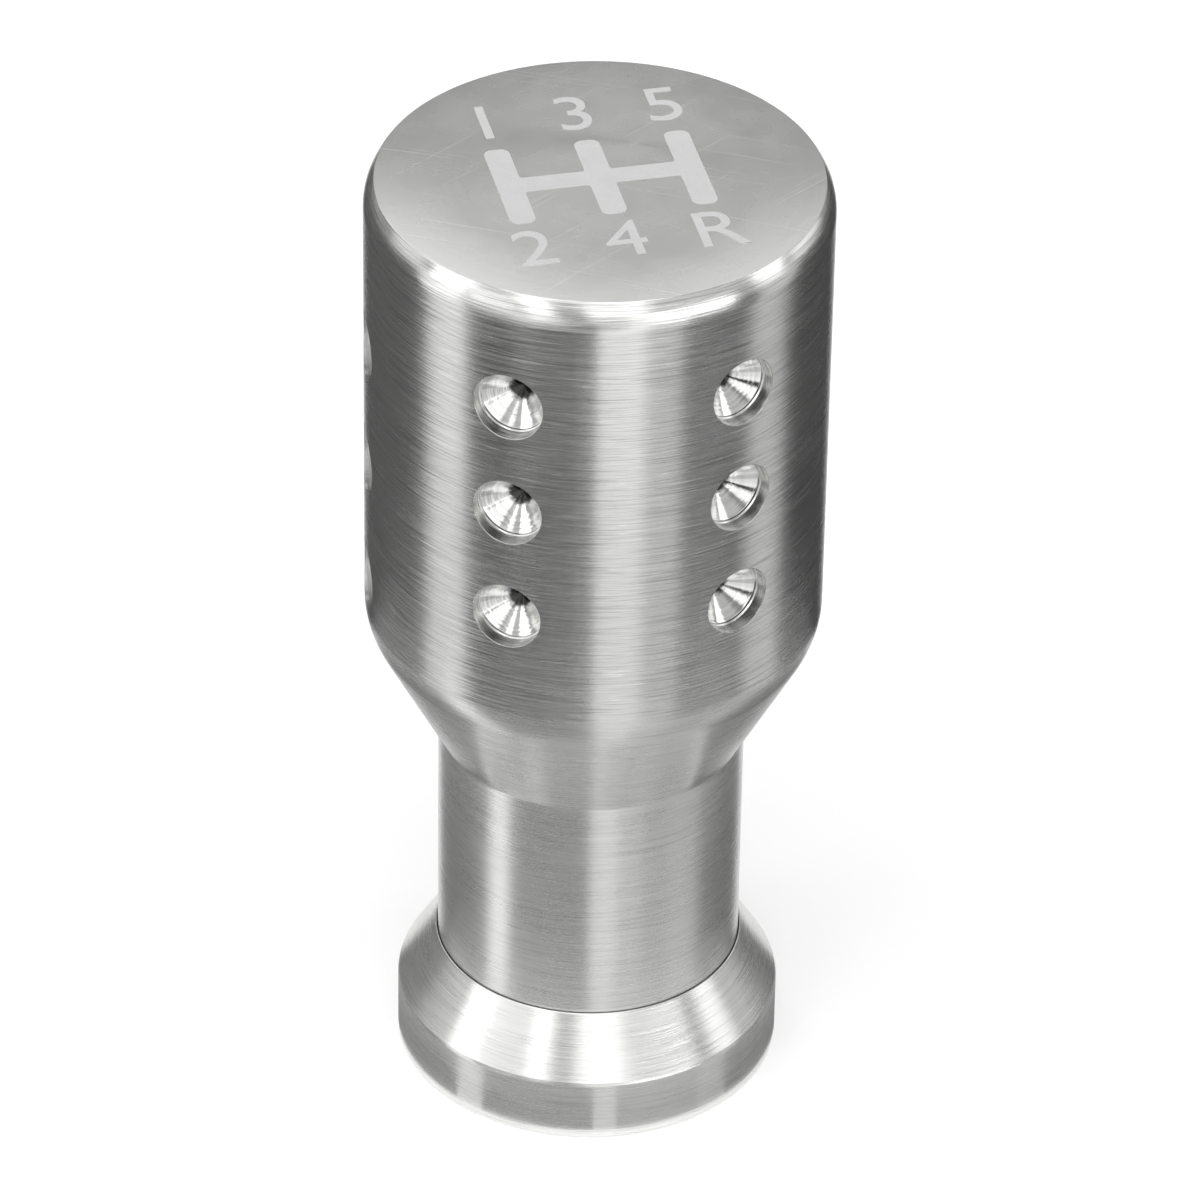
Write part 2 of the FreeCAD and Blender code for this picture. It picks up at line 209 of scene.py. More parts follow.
def rounded(corners, closed=False):
    """Walk along corners of (radius, height, rounding) and round each one off.

    A corner without a rounding gets EDGE_BREAK. Returns (radius, height, normal along the radius, normal
    along the height, number of the corner that the stretch ahead starts from). The normal is on the left.
    """
    count = len(corners)
    samples = []
    for number, (across, up, *own) in enumerate(corners):
        rounding = own[0] if own else EDGE_BREAK
        here = Vector((across, up))
        before = Vector(corners[number - 1][:2])
        after = Vector(corners[(number + 1) % count][:2])
        first = number == 0 and not closed
        last = number == count - 1 and not closed
        into = (after - here).normalized() if first else (here - before).normalized()
        out = into if last else (after - here).normalized()
        turn = math.atan2(into.x * out.y - into.y * out.x, into.dot(out))
        if abs(turn) < STRAIGHT:
            samples.append((here.x, here.y, -into.y, into.x, number))
            continue
        back = rounding * math.tan(abs(turn) / 2)
        side = math.copysign(rounding, turn)
        centre = here - into * back + Vector((-into.y, into.x)) * side
        steps = max(2, math.ceil(abs(turn) / ARC_STEP))
        for step in range(steps + 1):
            angle = turn * step / steps
            along = Matrix.Rotation(angle, 2) @ into
            normal = Vector((-along.y, along.x))
            place = centre - normal * side
            samples.append((place.x, place.y, normal.x, normal.y, number))
    return samples


def divided(samples, heights):
    """Add samples to a straight upright stretch so that it has one at each of these heights."""
    result = []
    for sample, following in zip(samples, samples[1:]):
        result.append(sample)
        if abs(sample[0] - following[0]) > CLOSE:
            continue
        low, high = sorted((sample[1], following[1]))
        between = [height for height in heights if low + CLOSE < height < high - CLOSE]
        between.sort(reverse=sample[1] > following[1])
        result.extend((sample[0], height, *sample[2:]) for height in between)
    return result + samples[-1:]


def angle_of(line):
    """The angle of a line of the turned surfaces, counted from +X."""
    return 2 * math.pi * line / AROUND


def outward_at(angle):
    """Unit vector away from the axis at this angle."""
    return Vector((math.cos(angle), math.sin(angle), 0))


class Lathe:
    """A turned surface: rings of points from a profile, joined by faces except where holes are cut."""

    def __init__(self, skin, samples, finishes=None):
        self.skin = skin
        self.samples = samples
        self.finish = [finishes[sample[4]] if finishes else 0 for sample in samples]
        self.rings = []
        self.travel = [0.0]
        for sample, following in zip(samples, samples[1:]):
            self.travel.append(self.travel[-1] + math.dist(sample[:2], following[:2]))
        for radius, height, outward, upward, _ in samples:
            lines = AROUND if radius > ON_AXIS else 1
            ring = []
            for line in range(lines):
                across = outward_at(angle_of(line))
                normal = across * (outward if lines > 1 else 0) + UP * upward
                ring.append(skin.point(across * radius + UP * height, normal))
            self.rings.append(ring)

    def at(self, ring, line):
        return self.rings[ring][line % len(self.rings[ring])]

    def join(self, skipped=()):
        """Fill the faces between neighbouring rings, apart from the skipped (ring, line) cells."""
        for ring in range(len(self.rings) - 1):
            for line in range(AROUND):
                if (ring, line) not in skipped:
                    self.cell_face(ring, line)

    def cell_face(self, upper, left):
        """The face of the cell that starts at this ring and line, a triangle where it meets the axis."""
        numbers = []
        strokes = []
        for ring, line in ((upper, left), (upper + 1, left), (upper + 1, left + 1), (upper, left + 1)):
            number = self.at(ring, line)
            if number in numbers:
                continue
            numbers.append(number)
            strokes.append((angle_of(line) * self.samples[ring][0], self.travel[ring]))
        self.skin.face(numbers, strokes, self.finish[upper])

    def ring_at(self, height, radius):
        """The ring at this height on the upright stretch of this radius."""
        def miss(ring):
            return abs(self.samples[ring][1] - height) + abs(self.samples[ring][0] - radius)
        return min(range(len(self.samples)), key=miss)


@dataclass
class Hole:
    """A round hole drilled towards the axis, from a line and a height on an upright turned wall."""
    wall: float
    line: int
    height: float
    radius: float
    half: float
    profile: list

    def block(self, lathe):
        """Top and bottom rings, and first and last lines, of the block of cells that the hole takes."""
        top = lathe.ring_at(self.height + self.half, self.wall)
        bottom = lathe.ring_at(self.height - self.half, self.wall)
        return top, bottom, self.line - HOLE_CELL, self.line + HOLE_CELL

    def cells(self, lathe):
        """The (ring, line) cells of the block."""
        top, bottom, first, last = self.block(lathe)
        return {(ring, line % AROUND) for ring in range(top, bottom) for line in range(first, last)}

    def border(self, lathe):
        """The (ring, line) places around the block, anticlockwise from its lower left corner."""
        top, bottom, first, last = self.block(lathe)
        places = [(bottom, line) for line in range(first, last)]
        places += [(ring, last) for ring in range(bottom, top, -1)]
        places += [(top, line) for line in range(last, first, -1)]
        places += [(ring, first) for ring in range(top, bottom)]
        return places

    def build(self, lathe, number):
        """Fill the block around the hole, break its lip and run its wall down to its floor."""
        skin = lathe.skin
        wall = self.wall
        middle = angle_of(self.line)
        top = self.block(lathe)[0]
        outward = outward_at(middle)
        across = UP.cross(outward)

        border = self.border(lathe)
        previous = [lathe.at(*place) for place in border]
        flat = []
        for ring, line in border:
            flat.append(Vector(((angle_of(line) - middle) * wall, lathe.samples[ring][1] - self.height)))
        turns = [math.atan2(place.y, place.x) for place in flat]

        def on_wall(turn, reach):
            """Where the drill's rim at this turn meets the wall, unrolled."""
            return Vector((wall * math.asin(reach * math.cos(turn) / wall), reach * math.sin(turn)))

        def wall_stroke(place):
            travel = lathe.travel[top] + lathe.samples[top][1] - (self.height + place.y)
            return middle * wall + place.x, travel

        strokes = [wall_stroke(place) for place in flat]
        for share in HOLE_SHARES:
            ring = []
            ring_strokes = []
            for turn, place in zip(turns, flat):
                rim = on_wall(turn, self.radius + EDGE_BREAK)
                spot = place.lerp(rim, share)
                normal = outward_at(middle + spot.x / wall)
                ring.append(skin.point(normal * wall + UP * (self.height + spot.y), normal))
                ring_strokes.append(wall_stroke(spot))
            join_rings(skin, previous, ring, strokes, ring_strokes, lathe.finish[top])
            previous = ring
            strokes = ring_strokes

        def inside(reach, depth, sideways, outwards):
            """A ring of the hole; a depth of None follows the saddle of the wall."""
            ring = []
            for turn in turns:
                radial = across * math.cos(turn) + UP * math.sin(turn)
                place = depth
                if depth is None:
                    place = math.sqrt(wall ** 2 - (reach * math.cos(turn)) ** 2) - EDGE_BREAK
                at = outward * place + radial * reach + UP * self.height
                ring.append(skin.point(at, radial * sideways + outward * outwards))
            return ring

        def inside_strokes(reach, travel):
            ahead = [turn if turn >= turns[0] else turn + 2 * math.pi for turn in turns]
            return [(turn * reach, travel) for turn in (*ahead, ahead[0] + 2 * math.pi)]

        travel = HOLE_TRAVEL * number
        ring = inside(self.radius, None, -1, 0)
        strokes = inside_strokes(self.radius, travel)
        join_rings(skin, previous, ring, strokes, strokes, DRILLED)
        place_before = (self.radius, wall)
        previous = ring
        for reach, place, sideways, outwards, _ in reversed(self.profile):
            travel += math.dist((reach, place), place_before)
            place_before = (reach, place)
            ring_strokes = inside_strokes(reach, travel)
            if reach < ON_AXIS:
                tip = skin.point(outward * place + UP * self.height, outward)
                for step, corner in enumerate(previous):
                    following = previous[(step + 1) % len(previous)]
                    corners = [strokes[step], strokes[step + 1], ring_strokes[step]]
                    skin.face([corner, following, tip], corners, DRILLED)
                break
            ring = inside(reach, place, sideways, outwards)
            join_rings(skin, previous, ring, strokes, ring_strokes, DRILLED)
            previous = ring
            strokes = ring_strokes


def join_rings(skin, outer, inner, outer_strokes, inner_strokes, finish):
    """Faces between two rings of as many points, the outer one anticlockwise as seen from outside.

    A row of strokes may have one more at its end, for the place where the ring closes.
    """
    for step in range(len(outer)):
        following = (step + 1) % len(outer)
        corners = [outer[step], outer[following], inner[following], inner[step]]
        strokes = [outer_strokes[step], outer_strokes[(step + 1) % len(outer_strokes)],
                   inner_strokes[(step + 1) % len(inner_strokes)], inner_strokes[step]]
        skin.face(corners, strokes, finish)


def spread(stops):
    """Heights from the lowest stop to the highest, with every stop and no wide step."""
    stops = sorted(set(round(stop, 6) for stop in stops))
    heights = []
    for low, high in zip(stops, stops[1:]):
        steps = max(1, round((high - low) / LINE_STEP))
        heights.extend(low + (high - low) * step / steps for step in range(steps))
    return heights + [stops[-1]]


def under_lip(wall, radius):
    """How far out a hole's wall reaches: just under the lowest part of its lip."""
    return math.sqrt(wall ** 2 - radius ** 2) - 2 * EDGE_BREAK


def dimple_profile():
    """Section of a dimple from its tip out to its wall, with the drill's ledge at the wall's foot."""
    floor = HEAD_RADIUS - DIMPLE_WALL
    tip = floor - DIMPLE_RADIUS / math.tan(DIMPLE_POINT)
    tip_place = tip + DIMPLE_TIP_FLAT / math.tan(DIMPLE_POINT)
    foot = DIMPLE_RADIUS - DIMPLE_LEDGE
    ledge = floor + DIMPLE_LEDGE_DROP
    return rounded([
        (0.0, tip_place),
        (DIMPLE_TIP_FLAT, tip_place, DRILL_ROUNDING),
        (foot, tip + foot / math.tan(DIMPLE_POINT), DRILL_ROUNDING),
        (foot, ledge, LEDGE_ROUNDING),
        (DIMPLE_RADIUS, ledge + DIMPLE_LEDGE / 2, LEDGE_ROUNDING),
        (DIMPLE_RADIUS, under_lip(HEAD_RADIUS, DIMPLE_RADIUS)),
    ])


def screw_hole_profile():
    """Section of a grub screw's hole from the middle of its floor out to its wall."""
    return rounded([
        (0.0, SCREW_HOLE_FLOOR),
        (SCREW_HOLE_RADIUS, SCREW_HOLE_FLOOR),
        (SCREW_HOLE_RADIUS, under_lip(NECK_RADIUS, SCREW_HOLE_RADIUS)),
    ])


def groove(wall, floor, middle, half, rounding=EDGE_BREAK):
    """Corners of a groove in an upright wall, from its upper edge down; the rounding is its floor's."""
    return [(wall, middle + half), (floor, middle + half, rounding),
            (floor, middle - half, rounding), (wall, middle - half)]


def knob_corners():
    """Profile of the knob's body from the middle of its top, down the outside and up the bore."""
    shoulder = NECK_HEIGHT + (HEAD_RADIUS - NECK_RADIUS) / math.tan(CONE_ANGLE)
    top = KNOB_HEIGHT - MARK_RISE
    edge_drop = TOP_EDGE_HEIGHT - DOME_DROP - MARK_RISE
    curve = (TOP_EDGE_INSET ** 2 + edge_drop ** 2) / (2 * TOP_EDGE_INSET)
    lean = math.asin(edge_drop / curve)
    curve_corner = KNOB_HEIGHT - TOP_EDGE_HEIGHT + curve * math.tan(lean / 2)
    curve_rounding = curve - 2 * CRISP_BREAK
    ring_mouth = RING_GROOVE_RADIUS
    return [
        (0.0, top),
        (DOME_START, top, DOME_RADIUS),
        (HEAD_RADIUS - TOP_EDGE_INSET, top - DOME_DROP, CRISP_BREAK),
        (HEAD_RADIUS, curve_corner, curve_rounding),
        (HEAD_RADIUS, shoulder, SHOULDER_RADIUS),
        (NECK_RADIUS, NECK_HEIGHT, CONE_FOOT_ROUNDING),
        *groove(NECK_RADIUS, NECK_RADIUS - CORD_GROOVE_DEPTH, CORD_HEIGHT, CORD_GROOVE_HALF),
        *groove(NECK_RADIUS, NECK_RADIUS - ring_mouth, RING_HEIGHT, ring_mouth, ring_mouth),
        (NECK_RADIUS, NECK_CHAMFER),
        (NECK_RADIUS - NECK_CHAMFER, 0.0),
        (BORE_RADIUS + BORE_CHAMFER, 0.0),
        (BORE_RADIUS, BORE_CHAMFER),
        (BORE_RADIUS, BORE_DEPTH),
        (0.0, BORE_DEPTH + BORE_RADIUS / math.tan(DRILL_POINT)),
    ]


def build_knob(materials):
    """The knob's body: one turned surface with eighteen drilled dimples and three screw holes."""
    corners = knob_corners()
    # The top is faced, its edge and the straight side are brushed, and the rest is turned.
    finishes = [FACED] * 2 + [BRUSHED] * 2 + [TURNED] * (len(corners) - 4)
    samples = rounded(corners)
    straight_side = [height for radius, height, *_ in samples if radius > HEAD_RADIUS - CLOSE]
    dimple_half = SIDE_HEIGHT - min(straight_side)
    finger_lines = [line for line in range(0, AROUND, AROUND // DIMPLE_COLUMNS) if line % (AROUND // 2)]
    side_lines = [0, AROUND // 2]
    dimples = []
    for row in range(DIMPLE_ROWS):
        dimples += [(line, FINGER_HEIGHT + FINGER_PITCH * row) for line in finger_lines]
        dimples += [(line, SIDE_HEIGHT + SIDE_PITCH * row) for line in side_lines]
    profile = dimple_profile()
    holes = [Hole(HEAD_RADIUS, *spot, DIMPLE_RADIUS, dimple_half, profile) for spot in dimples]

    above = CORD_HEIGHT - CORD_GROOVE_HALF - EDGE_BREAK - SCREW_HEIGHT
    below = SCREW_HEIGHT - (RING_HEIGHT + RING_GROOVE_RADIUS + EDGE_BREAK)
    screw_half = min(above, below) - EDGE_BREAK
    profile = screw_hole_profile()
    for line in range(0, AROUND, AROUND // SCREW_COUNT):
        holes.append(Hole(NECK_RADIUS, line, SCREW_HEIGHT, SCREW_HOLE_RADIUS, screw_half, profile))

    stops = [hole.height + side * hole.half for hole in holes for side in (-1, 1)]
    head_stops = [stop for stop in stops if stop > NECK_HEIGHT]
    neck_stops = [stop for stop in stops if stop < NECK_HEIGHT]
    samples = divided(samples, spread(head_stops) + spread(neck_stops))

    skin = Skin()
    lathe = Lathe(skin, samples, finishes)
    lathe.join(set().union(*(hole.cells(lathe) for hole in holes)))
    for number, hole in enumerate(holes):
        hole.build(lathe, number)
    return skin.build("turned_knob", materials)


def build_collar(material):
    """The gaiter collar: cone above, bevelled rim below, pocket underneath."""
    corners = [
        (COLLAR_BORE, COLLAR_HEIGHT, COLLAR_LIP),
        (COLLAR_RADIUS - RIM_BEVEL, RIM_HEIGHT),
        (COLLAR_RADIUS, RIM_HEIGHT - 3 * RIM_BEVEL),
        (COLLAR_RADIUS, COLLAR_CHAMFER),
        (COLLAR_RADIUS - COLLAR_CHAMFER, 0.0),
        (COLLAR_POCKET, 0.0),
        (COLLAR_POCKET, POCKET_DEPTH),
        (COLLAR_BORE, POCKET_DEPTH),
    ]
    skin = Skin()
    samples = rounded(corners, closed=True)
    Lathe(skin, samples + samples[:1]).join()
    return skin.build("turned_collar", [material])


def thread_rows():
    """Rows of points over one pitch of the thread, two to each side of its section, as in THREAD_SECTION.

    Each is a share of the pitch, a share of the depth and the slope between them.
    """
    rows = []
    for (start, low), (end, high) in zip(THREAD_SECTION, THREAD_SECTION[1:]):
        slope = (high - low) / (end - start)
        for share in (start + THREAD_CRISP, end - THREAD_CRISP):
            rows.append((share, low + slope * (share - start), slope))
    return rows


def thread_fade(height, low, high):
    """How much of its depth the thread has here: it grows over its first pitch and runs out at its end."""
    return max(0.0, min(1.0, (height - low) / THREAD_PITCH, (high - height) / THREAD_RUN_OUT))


def thread_column(lathe, ring, line, rows):
    """The thread's points above one line of the bore, by the number of their row, from low to high."""
    low = lathe.samples[ring][1]
    high = lathe.samples[ring + 1][1]
    outward = outward_at(angle_of(line))
    sideways = UP.cross(outward)
    depth = THREAD_MAJOR - THREAD_RADIUS
    column = {}
    for turn in range(-1, math.ceil((high - low) / THREAD_PITCH)):
        for number, (share, deep, slope) in enumerate(rows):
            height = low + (turn + share + line / AROUND) * THREAD_PITCH
            if not low + THREAD_MARGIN < height < high - THREAD_MARGIN:
                continue
            fade = thread_fade(height, low, high)
            radius = THREAD_RADIUS + depth * deep * fade
            steep = depth * slope * fade
            normal = UP * (steep / THREAD_PITCH) - sideways * (steep / (2 * math.pi * radius)) - outward
            point = lathe.skin.point(outward * radius + UP * height, normal)
            column[turn * len(rows) + number] = (point, lathe.travel[ring] + height - low)
    return column


def cut_thread(lathe, ring):
    """Fill the bore's wall between a ring and the next one with a helical thread."""
    rows = thread_rows()
    columns = [thread_column(lathe, ring, line, rows) for line in range(AROUND)]
    columns.append({number - len(rows): spot for number, spot in columns[0].items()})
    for line in range(AROUND):
        here, ahead = columns[line], columns[line + 1]
        low_here, low_ahead, high_here, high_ahead = [
            (lathe.at(end, at), lathe.travel[end]) for end in (ring, ring + 1) for at in (line, line + 1)]
        first, last = min(here), max(ahead)
        start = [ahead[row] for row in range(min(ahead), first + 1)]
        finish = [here[row] for row in range(last, max(here) + 1)]
        faces = [([low_here, here[first]], [low_ahead, *start])]
        faces += [([here[row], here[row + 1]], [ahead[row], ahead[row + 1]]) for row in range(first, last)]
        faces.append(([*finish, high_here], [ahead[last], high_ahead]))
        for left, right in faces:
            right.reverse()
            numbers = [number for number, _ in left + right]
            strokes = [(angle_of(line) * THREAD_RADIUS, travel) for _, travel in left]
            strokes += [(angle_of(line + 1) * THREAD_RADIUS, travel) for _, travel in right]
            lathe.skin.face(numbers, strokes)


def build_adapter(material):
    """The adapter: a turned sleeve with a groove for the screws' ends and an M12 thread inside."""
    thread_start = (THREAD_RADIUS, ADAPTER_LOW + THREAD_LEAD)
    corners = [
        (0.0, ADAPTER_TOP),
        (ADAPTER_RADIUS - ADAPTER_CHAMFER, ADAPTER_TOP),
        (ADAPTER_RADIUS, ADAPTER_TOP - ADAPTER_CHAMFER),
        *groove(ADAPTER_RADIUS, ADAPTER_RADIUS - SCREW_GROOVE_DEPTH, SCREW_HEIGHT, SCREW_GROOVE_HALF),
        (ADAPTER_RADIUS, ADAPTER_LOW + ADAPTER_CHAMFER),
        (ADAPTER_RADIUS - ADAPTER_CHAMFER, ADAPTER_LOW),
        (THREAD_RADIUS + THREAD_LEAD, ADAPTER_LOW),
        thread_start,
        (THREAD_RADIUS, THREAD_FLOOR),
        (0.0, THREAD_FLOOR + THREAD_RADIUS / math.tan(DRILL_POINT)),
    ]
    skin = Skin()
    samples = rounded(corners)
    lathe = Lathe(skin, samples)
    start = corners.index(thread_start)
    wall = max(ring for ring, sample in enumerate(samples) if sample[4] == start)
    lathe.join({(wall, line) for line in range(AROUND)})
    cut_thread(lathe, wall)
    return skin.build("turned_adapter", [material])


def gate_outline():
    """Outline of a shift gate: one cross bar and a bar for each pair of gears, clockwise from above."""
    half = GATE_STROKE / 2
    inner_rounding = half / 4
    end_rounding = half * 0.7
    points = []
    for column in GATE_COLUMNS:
        if column != GATE_COLUMNS[0]:
            points.append((column - half, half, inner_rounding))
        points.append((column - half, GATE_REACH, end_rounding))
        points.append((column + half, GATE_REACH, end_rounding))
        if column != GATE_COLUMNS[-1]:
            points.append((column + half, half, inner_rounding))
    points += [(across, -up, rounding) for across, up, rounding in reversed(points)]
    return [sample[:2] for sample in rounded(points, closed=True)]


def flat_shape(curve, place=(0, 0)):
    """A filled curve or text as a thin closed mesh, moved on its plane."""
    curve.fill_mode = "BOTH"
    curve.extrude = MARK_THICKNESS / 2
    holder = add_object(curve.name, curve)
    graph = bpy.context.evaluated_depsgraph_get()
    mesh = bpy.data.meshes.new_from_object(holder.evaluated_get(graph))
    mesh.transform(Matrix.Translation((*place, 0)))
    bpy.data.objects.remove(holder)
    bpy.data.curves.remove(curve)
    return mesh


def build_mark(material):
    """A plain shift pattern, etched into the top: the gate with the numbers of its gears."""
    gate = bpy.data.curves.new("gate", "CURVE")
    gate.dimensions = "2D"
    outline = gate_outline()
    spline = gate.splines.new("POLY")
    spline.points.add(len(outline) - 1)
    for point, (across, up) in zip(spline.points, outline):
        point.co = (across, up, 0, 1)
    spline.use_cyclic_u = True
    shapes = [flat_shape(gate)]
    for side, gears in ((1, GEARS_AHEAD), (-1, GEARS_BACK)):
        for column, gear in zip(GATE_COLUMNS, gears):
            text = bpy.data.curves.new("gear_" + gear, "FONT")
            text.body = gear
            text.size = GEAR_SIZE
            text.align_x = text.align_y = "CENTER"
            shapes.append(flat_shape(text, (column, side * GEAR_REACH)))
    joined = bmesh.new()
    for shape in shapes:
        joined.from_mesh(shape)
        bpy.data.meshes.remove(shape)
    bmesh.ops.remove_doubles(joined, verts=joined.verts, dist=CLOSE)
    mesh = bpy.data.meshes.new("shift_pattern")
    joined.to_mesh(mesh)
    joined.free()
    level = KNOB_HEIGHT - MARK_THICKNESS / 2
    turn = Matrix.Rotation(math.radians(MARK_TURN), 4, "Z")
    mesh.transform(Matrix.Scale(MM, 4) @ Matrix.Translation((0, 0, level)) @ turn)
    mesh.materials.append(material)
    return add_object("shift_pattern", mesh)


def feed(tree, socket, given):
    """Link an input to the output that feeds it, or set its value."""
    if isinstance(given, bpy.types.NodeSocket):
        tree.links.new(given, socket)
    else:
        socket.default_value = given


def set_inputs(tree, node, **inputs):
    """Feed a node's inputs, named with underscores for blanks, and hand the node back."""
    for name, given in inputs.items():
        feed(tree, node.inputs[name.replace("_", " ")], given)
    return node


def set_node(tree, kind, **inputs):
    """Add a node and feed its inputs."""
    return set_inputs(tree, tree.nodes.new("ShaderNode" + kind), **inputs)


def set_math(tree, operation, *values, kind="Math"):
    """The first output of a new math node, or vector math node, fed with these values."""
    node = tree.nodes.new("ShaderNode" + kind)
    node.operation = operation
    for socket, given in zip(node.inputs, values):
        feed(tree, socket, given)
    return node.outputs[0]


def remap(tree, value, low, high):
    """Stretch a value from 0 to 1 over low to high."""
    node = set_node(tree, "MapRange", Value=value, To_Min=low, To_Max=high)
    return node.outputs["Result"]


class Finish:
    """A node material in the making, with a tone, a roughness and a relief that patterns change."""

    def __init__(self, name, tone, roughness, metallic=1.0, tint=ALUMINIUM):
        self.material = bpy.data.materials.new(name)
        self.material.use_nodes = True
        self.tree = self.material.node_tree
        self.tree.nodes.clear()
        self.shader = set_node(self.tree, "BsdfPrincipled", Metallic=metallic)
        set_node(self.tree, "OutputMaterial", Surface=self.shader.outputs[0])
        self.tone = tone
        self.tint = tint
        self.roughness = roughness
        self.place = set_node(self.tree, "TexCoord").outputs["Object"]
        self.height = None
        self.kept = None

    def noise(self, place, scale=1.0, detail=3.0):
        """Noise from 0 to 1 at these coordinates."""
        node = set_node(self.tree, "TexNoise", Vector=place, Scale=scale, Detail=detail, Roughness=0.6)
        return node.outputs["Fac"]

    def clouds(self, size, detail=2.0):
        """Soft noise of this size in millimetres."""
        return self.noise(self.place, 1 / (size * MM), detail)

    def lines(self, length, width, turn, seed):
        """Noise drawn out along a level direction, turned by so many degrees from X."""
        turned = set_node(self.tree, "VectorRotate", Vector=self.place, Angle=math.radians(turn)).outputs[0]
        scale = (1 / (length * MM), 1 / (width * MM), 0)
        node = set_node(self.tree, "Mapping", Vector=turned, Location=(seed, seed, 0), Scale=scale)
        return self.noise(node.outputs[0], detail=0.0)

    def peaks(self, pattern, start, end):
        """Only the highest parts of a pattern: 0 below start, 1 above end."""
        node = set_node(self.tree, "MapRange", Value=pattern, From_Min=start, From_Max=end)
        return node.outputs["Result"]

    def mix(self, *parts):
        """The weighted sum of patterns, each given with its weight."""
        total = None
        for pattern, weight in parts:
            share = set_math(self.tree, "MULTIPLY", pattern, weight)
            total = share if total is None else set_math(self.tree, "ADD", total, share)
        return total

    def groove(self, pattern, depth):
        """Add a pattern to the surface's relief, its depth in millimetres."""
        relief = set_math(self.tree, "MULTIPLY", pattern, depth * MM)
        self.height = relief if self.height is None else set_math(self.tree, "ADD", self.height, relief)

    def stain(self, pattern, depth):
        """Darken the tone by this share of it where the pattern is 1."""
        kept = set_math(self.tree, "SUBTRACT", 1.0, set_math(self.tree, "MULTIPLY", pattern, depth))
        self.kept = kept if self.kept is None else set_math(self.tree, "MULTIPLY", self.kept, kept)

    def finish(self, tone_pattern, tone_spread, rough_pattern, rough_spread):
        """Join tone, roughness and relief to the shader, each pattern counted from its middle, 0.5."""
        tree = self.tree
        shade = remap(tree, tone_pattern, self.tone - tone_spread, self.tone + tone_spread)
        if self.kept is not None:
            shade = set_math(tree, "MULTIPLY", shade, self.kept)
        red, green, blue = [set_math(tree, "MULTIPLY", shade, part) for part in self.tint]
        colour = set_node(tree, "CombineColor", Red=red, Green=green, Blue=blue)
        rough = remap(tree, rough_pattern, self.roughness - rough_spread, self.roughness + rough_spread)
        bump = set_node(tree, "Bump", Strength=1.0, Distance=1.0, Height=self.height)
        set_inputs(tree, self.shader, Base_Color=colour.outputs[0], Roughness=rough,
                   Normal=bump.outputs["Normal"])
        return self.material


class Turned(Finish):
    """Metal from the lathe: its fine marks run along the strokes of its mesh."""

    def __init__(self, name, tone, roughness, anisotropic, **more):
        super().__init__(name, tone, roughness, **more)
        strokes = set_node(self.tree, "UVMap")
        strokes.uv_map = "strokes"
        self.across = set_node(self.tree, "SeparateXYZ", Vector=strokes.outputs["UV"]).outputs["Y"]
        tangent = set_node(self.tree, "Tangent")
        tangent.direction_type = "UV_MAP"
        tangent.uv_map = "strokes"
        set_inputs(self.tree, self.shader, Anisotropic=anisotropic, Anisotropic_Rotation=QUARTER_TURN,
                   Tangent=tangent.outputs[0])

    def streaks(self, length, width, detail=3.0, seed=0.0):
        """Noise drawn out along the strokes: its length along and width across them, in millimetres."""
        tree = self.tree
        spot = set_math(tree, "MULTIPLY", self.place, [1 / (length * MM)] * 3, kind="VectorMath")
        rise = set_math(tree, "MULTIPLY", self.across, 1 / (width * MM))
        lift = set_node(tree, "CombineXYZ", X=seed, Y=seed, Z=rise).outputs[0]
        place = set_math(tree, "ADD", spot, lift, kind="VectorMath")
        return self.noise(place, detail=detail)


def brushed_metal():
    """The head's side: fine scratches around the axis, of unlike length and depth, and a few painted
    glints.
    """
    metal = Turned("brushed_metal", tone=0.82, roughness=0.25, anisotropic=0.75)
    fine = metal.streaks(7.0, 0.14, detail=2.0)
    long = metal.streaks(24.0, 0.42, seed=3.0)
    hairs = metal.peaks(metal.streaks(7.0, 0.12, detail=2.0, seed=17.0), 0.5, 0.66)
    # Painted highlight: short bright streaks that lift the tone, with a faint relief, as glints on the
    # brushed side.
    painted_glints = metal.peaks(metal.streaks(2.2, 0.3, detail=1.0, seed=11.0), 0.66, 0.78)
    patches = metal.clouds(9.0)
    metal.groove(fine, 0.018)
    metal.groove(long, 0.018)
    metal.groove(painted_glints, 0.003)
    metal.stain(hairs, 0.3)
    return metal.finish(metal.mix((fine, 0.6), (long, 0.4), (painted_glints, 0.35), (patches, 0.1)), 0.2,
                        metal.mix((fine, 0.6), (patches, 0.4)), 0.1)


def turned_metal():
    """Cone, neck and collar: a finer, brighter finish straight from the lathe."""
    metal = Turned("turned_metal", tone=0.85, roughness=0.28, anisotropic=0.7)
    fine = metal.streaks(6.0, 0.15)
    long = metal.streaks(18.0, 0.5, seed=5.0)
    hairs = metal.peaks(metal.streaks(9.0, 0.14, detail=2.0, seed=23.0), 0.5, 0.68)
    patches = metal.clouds(7.0)
    metal.groove(fine, 0.018)
    metal.groove(long, 0.02)
    metal.stain(hairs, 0.16)
    return metal.finish(metal.mix((fine, 0.5), (long, 0.4), (patches, 0.1)), 0.12,
                        metal.mix((fine, 0.6), (patches, 0.4)), 0.08)


def faced_metal():
    """The top: finely matted, with cloudy patches and a few long scratches from use."""
    metal = Turned("faced_metal", tone=0.72, roughness=0.27, anisotropic=0.55)
    fine = metal.streaks(30.0, 0.35, detail=1.0)
    grain = metal.clouds(0.7)
    patches = metal.clouds(5.0)
    scratches = metal.peaks(metal.lines(24.0, 0.24, 24, 2.0), 0.73, 0.8)
    crossing = metal.peaks(metal.lines(18.0, 0.22, -38, 7.0), 0.74, 0.8)
    metal.groove(fine, 0.0016)
    metal.groove(grain, 0.0012)
    metal.groove(scratches, -0.002)
    metal.groove(crossing, -0.002)
    tone = metal.mix((patches, 0.4), (grain, 0.3), (fine, 0.3), (scratches, 0.7), (crossing, 0.7))
    return metal.finish(tone, 0.055, patches, 0.04)


